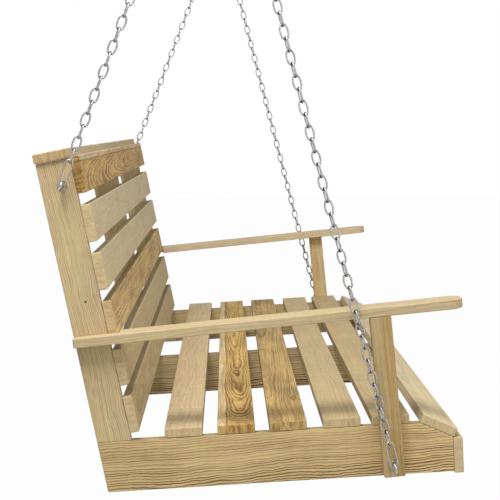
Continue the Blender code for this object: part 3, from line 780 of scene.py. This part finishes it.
def mesh_object(name, shape, place, smooth=True):
    """An object in the scene, made of a bmesh, which is used up."""
    bmesh.ops.recalc_face_normals(shape, faces=shape.faces)
    for side in shape.faces:
        side.smooth = smooth
    mesh = bpy.data.meshes.new(name)
    shape.to_mesh(mesh)
    shape.free()
    return place_object(name, mesh, place)


def pull_frame(eye, apex):
    """Axes at an eye: Z along the chain's pull, X nearest the bench's length."""
    pull = (apex - eye).normalized()
    across = (ALONG - pull * ALONG.dot(pull)).normalized()
    axes = Matrix((across, pull.cross(across), pull)).transposed().to_4x4()
    return Matrix.Translation(eye) @ axes


def oval(half, reach, power, steps):
    """Points of a rounded oval in the XZ plane."""
    for step in range(steps):
        angle = 2 * math.pi * (step + 0.5) / steps
        cosine, sine = math.cos(angle), math.sin(angle)
        yield Vector((
            math.copysign(abs(cosine) ** (2 / power), cosine) * half,
            0,
            math.copysign(abs(sine) ** (2 / power), sine) * reach,
        ))


def dress_chain(label, axes, count, seed):
    """Welded links, each second one turned a quarter, a weld on one leg and a mark that darkens the crowns.
    """
    draw = random.Random(seed)
    shape = bmesh.new()
    layer = shape.verts.layers.float.new("crown")
    spare = GAP - END_CLEARANCE
    length = 2 * LINK_REACH + (count - 1) * LINK_PITCH + 2 * spare
    pitch = length / count
    half = (LINK_WIDTH - LINK_WIRE) / 2
    reach = pitch / 2 + LINK_WIRE / 2
    path = list(oval(half, reach, power=2.35, steps=28))
    for index in range(count):
        middle = CHAIN_START - spare + (index + 0.5) * pitch
        spin = (index % 2) * math.pi / 2 + math.radians(LINK_TWIST + draw.uniform(-TWIST_PLAY, TWIST_PLAY))
        turn = Matrix.Translation((0, 0, middle)) @ Matrix.Rotation(spin, 4, "Z")
        weld_side = draw.choice((-1, 1))
        points, radii, marks = [], [], []
        for point in path:
            weld = math.exp(-(point.z / WELD_HALF_LENGTH) ** 2) if point.x * weld_side > 0 else 0.0
            points.append(turn @ point)
            radii.append(LINK_WIRE / 2 * (1 + WELD_SWELL * weld))
            marks.append(min(1.0, max(0.0, (abs(point.z) / reach - CROWN_START) / CROWN_BLEND)))
        sweep(shape, points, radii, sides=10, cyclic=True, layer=layer, marks=marks)
    links = mesh_object(f"{label}_links", shape, axes)
    finish_piece(links, CHAIN_ZINC, "zinc_chain", "swing", f"{label}_chain")


def spline(points, steps):
    """A smooth curve through points, with steps between each two."""
    padded = [points[0] * 2 - points[1], *points, points[-1] * 2 - points[-2]]
    for i in range(1, len(padded) - 2):
        a, b, c, d = padded[i - 1:i + 3]
        square, cube = 2 * a - 5 * b + 4 * c - d, 3 * b - a - 3 * c + d
        for step in range(steps):
            t = step / steps
            yield 0.5 * ((2 * b) + (c - a) * t + square * t**2 + cube * t**3)
    yield points[-1]


def dress_snap_hook(label, axes):
    """The bent wire of a snap hook, and its gate, a bar with a rounded heel that turns at the pivot."""
    seat = axes @ Matrix.Translation((0, 0, SNAP_SEAT))
    bend = SNAP_BEND
    route = [
        (bend - 0.0001, GATE_PIVOT - 0.0016), (bend - 0.0002, 0.0072), (bend * 0.72, 0.0021), (0.0, 0.0),
        (-bend * 0.74, 0.0023), (-bend * 0.96, 0.0080), (-bend, 0.0200), (-bend, 0.0330),
        (-bend * 0.95, 0.0400), (-bend * 0.62, 0.0445), (0.0, SNAP_REACH), (bend * 0.66, 0.0443),
        (bend, 0.0395), (bend, 0.0362), (bend * 0.94, 0.0346),
    ]
    path = list(spline([Vector((0, -forward, up)) for forward, up in route], steps=5))
    radii = [SNAP_RADIUS] * len(path)
    radii[-1] *= 0.62
    radii[-2] *= 0.9
    shape = bmesh.new()
    sweep(shape, path, radii, sides=14, cyclic=False)
    hook = mesh_object(f"{label}_hook_wire", shape, seat)
    finish_piece(hook, SNAP_ZINC_PAINTED_REFLECTION, "zinc_snap", "swing", f"{label}_snap_hook")

    shape = bmesh.new()
    profile = [
        (-0.0017, 0.45), (-0.0013, 0.80), (-0.0004, 1.0), (0.004, 0.98), (0.012, 0.90),
        (GATE_LENGTH - 0.003, 0.86), (GATE_LENGTH - 0.0008, 0.86), (GATE_LENGTH, 0.6),
    ]
    path = [Vector((0, 0, up)) for up, _ in profile]
    radii = [GATE_WIRE / 2 * width for _, width in profile]
    sweep(shape, path, radii, sides=14, cyclic=False)
    pivot = seat @ Matrix.Translation((0, -SNAP_BEND, GATE_PIVOT))
    gate = mesh_object(f"{label}_gate_bar", shape, pivot)
    finish_piece(gate, SNAP_ZINC_PAINTED_REFLECTION, "zinc_snap", f"{label}_gate_body", f"{label}_gate")


def lathe(shape, profile, sides):
    """Turns pairs of distance along X and radius round X. Closed in a ring, unless the end radii are 0."""
    circle = list(circle_points(sides))
    rings = []
    for along, radius in profile:
        if radius == 0:
            rings.append([shape.verts.new((along, 0, 0))])
        else:
            rings.append([shape.verts.new((along, radius * c, radius * s)) for c, s in circle])
    pairs = list(zip(rings, rings[1:]))
    if len(rings[0]) > 1:
        pairs.append((rings[-1], rings[0]))
    for first, second in pairs:
        for k in range(sides):
            following = (k + 1) % sides
            if len(first) == 1:
                shape.faces.new((first[0], second[k], second[following]))
            elif len(second) == 1:
                shape.faces.new((first[k], second[0], first[following]))
            else:
                shape.faces.new((first[k], second[k], second[following], first[following]))


def dress_bolt(label, side, axes, depth):
    """The eye bolt with a thread on its tail, its two washers and its nut."""
    eye = axes.translation
    level = Matrix.Translation(eye) @ Matrix.Rotation(math.pi if side > 0 else 0.0, 4, "Z")
    face = BOLT_STANDOFF
    far_face = face + depth
    tail = far_face + WASHER_THICKNESS + NUT_HEIGHT + THREAD_PROUD + 2 * GAP
    radius = BOLT_SHANK / 2
    root, neck = EYE_MEAN - 0.001, EYE_MEAN + 0.003
    thread_start, thread_end = far_face - 0.004, tail - 0.0014
    profile = [(root, 0), (root, radius * 0.8), (neck, radius), (thread_start, radius)]
    along = thread_start
    while along < thread_end:
        profile += [(along + THREAD_PITCH / 2, radius * 0.86), (along + THREAD_PITCH, radius * 0.99)]
        along += THREAD_PITCH
    profile += [(tail - 0.0004, radius * 0.80), (tail, radius * 0.6), (tail, 0)]
    shape = bmesh.new()
    lathe(shape, profile, sides=20)
    bolt = mesh_object(f"{label}_eye_bolt_body", shape, level)
    circle = [Vector((c * EYE_MEAN, 0, s * EYE_MEAN)) for c, s in circle_points(36)]
    shape = bmesh.new()
    sweep(shape, circle, [BOLT_WIRE / 2] * len(circle), sides=16, cyclic=True)
    loop = mesh_object(f"{label}_eye_loop", shape, axes)
    union = bolt.modifiers.new("eye", "BOOLEAN")
    union.operation = "UNION"
    union.solver = "EXACT"
    union.object = loop
    bpy.context.view_layer.update()
    joined = bpy.data.meshes.new_from_object(bolt.evaluated_get(bpy.context.evaluated_depsgraph_get()))
    bolt.modifiers.clear()
    bolt.data = joined
    joined.shade_smooth()
    joined.set_sharp_from_angle(angle=math.radians(40))
    bpy.data.objects.remove(loop, do_unlink=True)
    finish_piece(bolt, FITTING_ZINC, "zinc_fittings", "swing", f"{label}_eye_bolt")

    edge = 0.0003
    hole = BOLT_SHANK / 2 + GAP
    outer = WASHER_WIDTH / 2
    # The inner washer takes the nuts' zinc, darkened as painted shade.
    washers = (
        ("outer_washer", face - GAP - WASHER_THICKNESS, WASHER_ZINC_PAINTED_REFLECTION),
        ("inner_washer", far_face + GAP, SHADED_YELLOW_ZINC),
    )
    for word, start, material in washers:
        end = start + WASHER_THICKNESS
        shape = bmesh.new()
        profile = [
            (start, hole), (start, outer - edge), (start + edge, outer),
            (end - edge, outer), (end, outer - edge), (end, hole),
        ]
        lathe(shape, profile, sides=40)
        washer = mesh_object(f"{label}_{word}_disc", shape, level, smooth=False)
        finish_piece(washer, material, "zinc_fittings", "swing", f"{label}_{word}")
    start = far_face + 2 * GAP + WASHER_THICKNESS
    end = start + NUT_HEIGHT
    corner = NUT_WIDTH / math.cos(math.pi / 6) / 2
    shape = bmesh.new()
    lathe(shape, [(start, hole), (start, corner), (end, corner), (end, hole)], sides=6)
    nut = mesh_object(f"{label}_nut_hex", shape, level, smooth=False)
    ease_edges(nut, 30)
    finish_piece(nut, SHADED_YELLOW_ZINC, "zinc_fittings", "swing", f"{label}_nut")


def dress_ring(label, apex):
    """The ring that joins a side's two chains."""
    circle = [Vector((0, c, s)) * RING_MEAN for c, s in circle_points(64)]
    shape = bmesh.new()
    sweep(shape, circle, [RING_WIRE / 2] * len(circle), sides=18, cyclic=True)
    ring = mesh_object(f"{label}_round_ring", shape, Matrix.Translation(apex))
    finish_piece(ring, FITTING_ZINC, "zinc_fittings", "swing", f"{label}_hanging_ring")


def dress_hardware():
    """All the steel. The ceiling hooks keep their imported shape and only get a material."""
    for label, side in SIDES:
        apex = Vector((side * (END_FACE + HANGER_OUTSET), 0, APEX_HEIGHT))
        bolts = (
            ("rear", REAR_EYE, REAR_OUTSET, FRAME_THICKNESS),
            ("front", FRONT_EYE, FRONT_OUTSET, FRAME_THICKNESS + GAP + ARM_POST_THICKNESS),
        )
        for index, (word, (forward, height), outset, depth) in enumerate(bolts):
            name = f"{label}_{word}"
            eye = BENCH @ Vector((side * (END_FACE + outset), -forward, height))
            axes = pull_frame(eye, apex)
            dress_chain(name, axes, LINK_COUNTS[word], 10 * index + side + 5)
            dress_snap_hook(name, axes)
            dress_bolt(name, side, axes, depth)
        dress_ring(label, apex)
        paint(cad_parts[f"{label}_ceiling_hook"], FITTING_ZINC)


# Studio

def build_studio():
    """A pale floor that looks white but takes a shadow, white surroundings and two soft lamps."""
    shape = bmesh.new()
    bmesh.ops.create_grid(shape, x_segments=1, y_segments=1, size=14)
    floor = mesh_object("floor", shape, Matrix.Translation((0, 0, FLOOR_HEIGHT)), smooth=False)
    material, net, shader = new_material("pale floor")
    shader.inputs["Base Color"].default_value = (0.62, 0.62, 0.61, 1)
    shader.inputs["Roughness"].default_value = 0.9
    white = net.add("ShaderNodeEmission")
    white.inputs["Color"].default_value = (1, 1, 1, 1)
    mixer = net.add("ShaderNodeMixShader")
    net.put(mixer.inputs[0], net.math("MULTIPLY", net.seen_directly(), FLOOR_WHITENESS))
    net.put(mixer.inputs[1], shader.outputs[0])
    net.put(mixer.inputs[2], white.outputs[0])
    net.put(material.node_tree.nodes["Material Output"].inputs[0], mixer.outputs[0])
    paint(floor, material)

    world = bpy.data.worlds.new("studio")
    bpy.context.scene.world = world
    world.use_nodes = True
    net = Net(world.node_tree)
    background = world.node_tree.nodes["Background"]
    seen = net.seen_directly()
    net.put(background.inputs["Color"], net.mix(seen, (1.0, 0.985, 0.96, 1), (1, 1, 1, 1)))
    net.put(background.inputs["Strength"], net.spread(seen, 0.0, 1.0, 0.34, 1.0))

    for name, place, size, power in (
        ("key", (-1.75, 0.55, 1.45), 1.3, 82),
        ("fill", (-2.2, -2.2, 0.1), 2.4, 24),
    ):
        light = bpy.data.lights.new(name, "AREA")
        light.shape = "DISK"
        light.size = size
        light.energy = power
        turn = (LAMP_TARGET - Vector(place)).to_track_quat("-Z", "Y")
        place_object(name, light, Matrix.Translation(place) @ turn.to_matrix().to_4x4())


def build_camera():
    """The photograph's view, from beyond the right-hand end and level with the top of the back."""
    yaw, pitch, roll = 0.0145, 0.1030, -0.0574
    forward = Vector((math.cos(pitch) * math.cos(yaw), -math.cos(pitch) * math.sin(yaw), -math.sin(pitch)))
    right = Vector((-math.sin(yaw), -math.cos(yaw), 0))
    upward = Vector((math.sin(pitch) * math.cos(yaw), -math.sin(pitch) * math.sin(yaw), math.cos(pitch)))
    turned_right = math.cos(roll) * right + math.sin(roll) * upward
    turned_up = -math.sin(roll) * right + math.cos(roll) * upward
    axes = Matrix((turned_right, turned_up, -forward)).transposed().to_4x4()
    camera = bpy.data.cameras.new("photograph")
    camera.sensor_width = SENSOR_WIDTH
    camera.lens = FOCAL_PIXELS / PHOTOGRAPH_PIXELS * SENSOR_WIDTH
    camera.clip_end = 50
    place = BENCH @ Matrix.Translation(CAMERA_PLACE) @ axes
    bpy.context.scene.camera = place_object("photograph", camera, place)


build_camera()
dress_frames()
dress_back()
dress_seat()
dress_trim()
dress_hardware()
build_studio()
bpy.context.scene.view_settings.view_transform = "Standard"
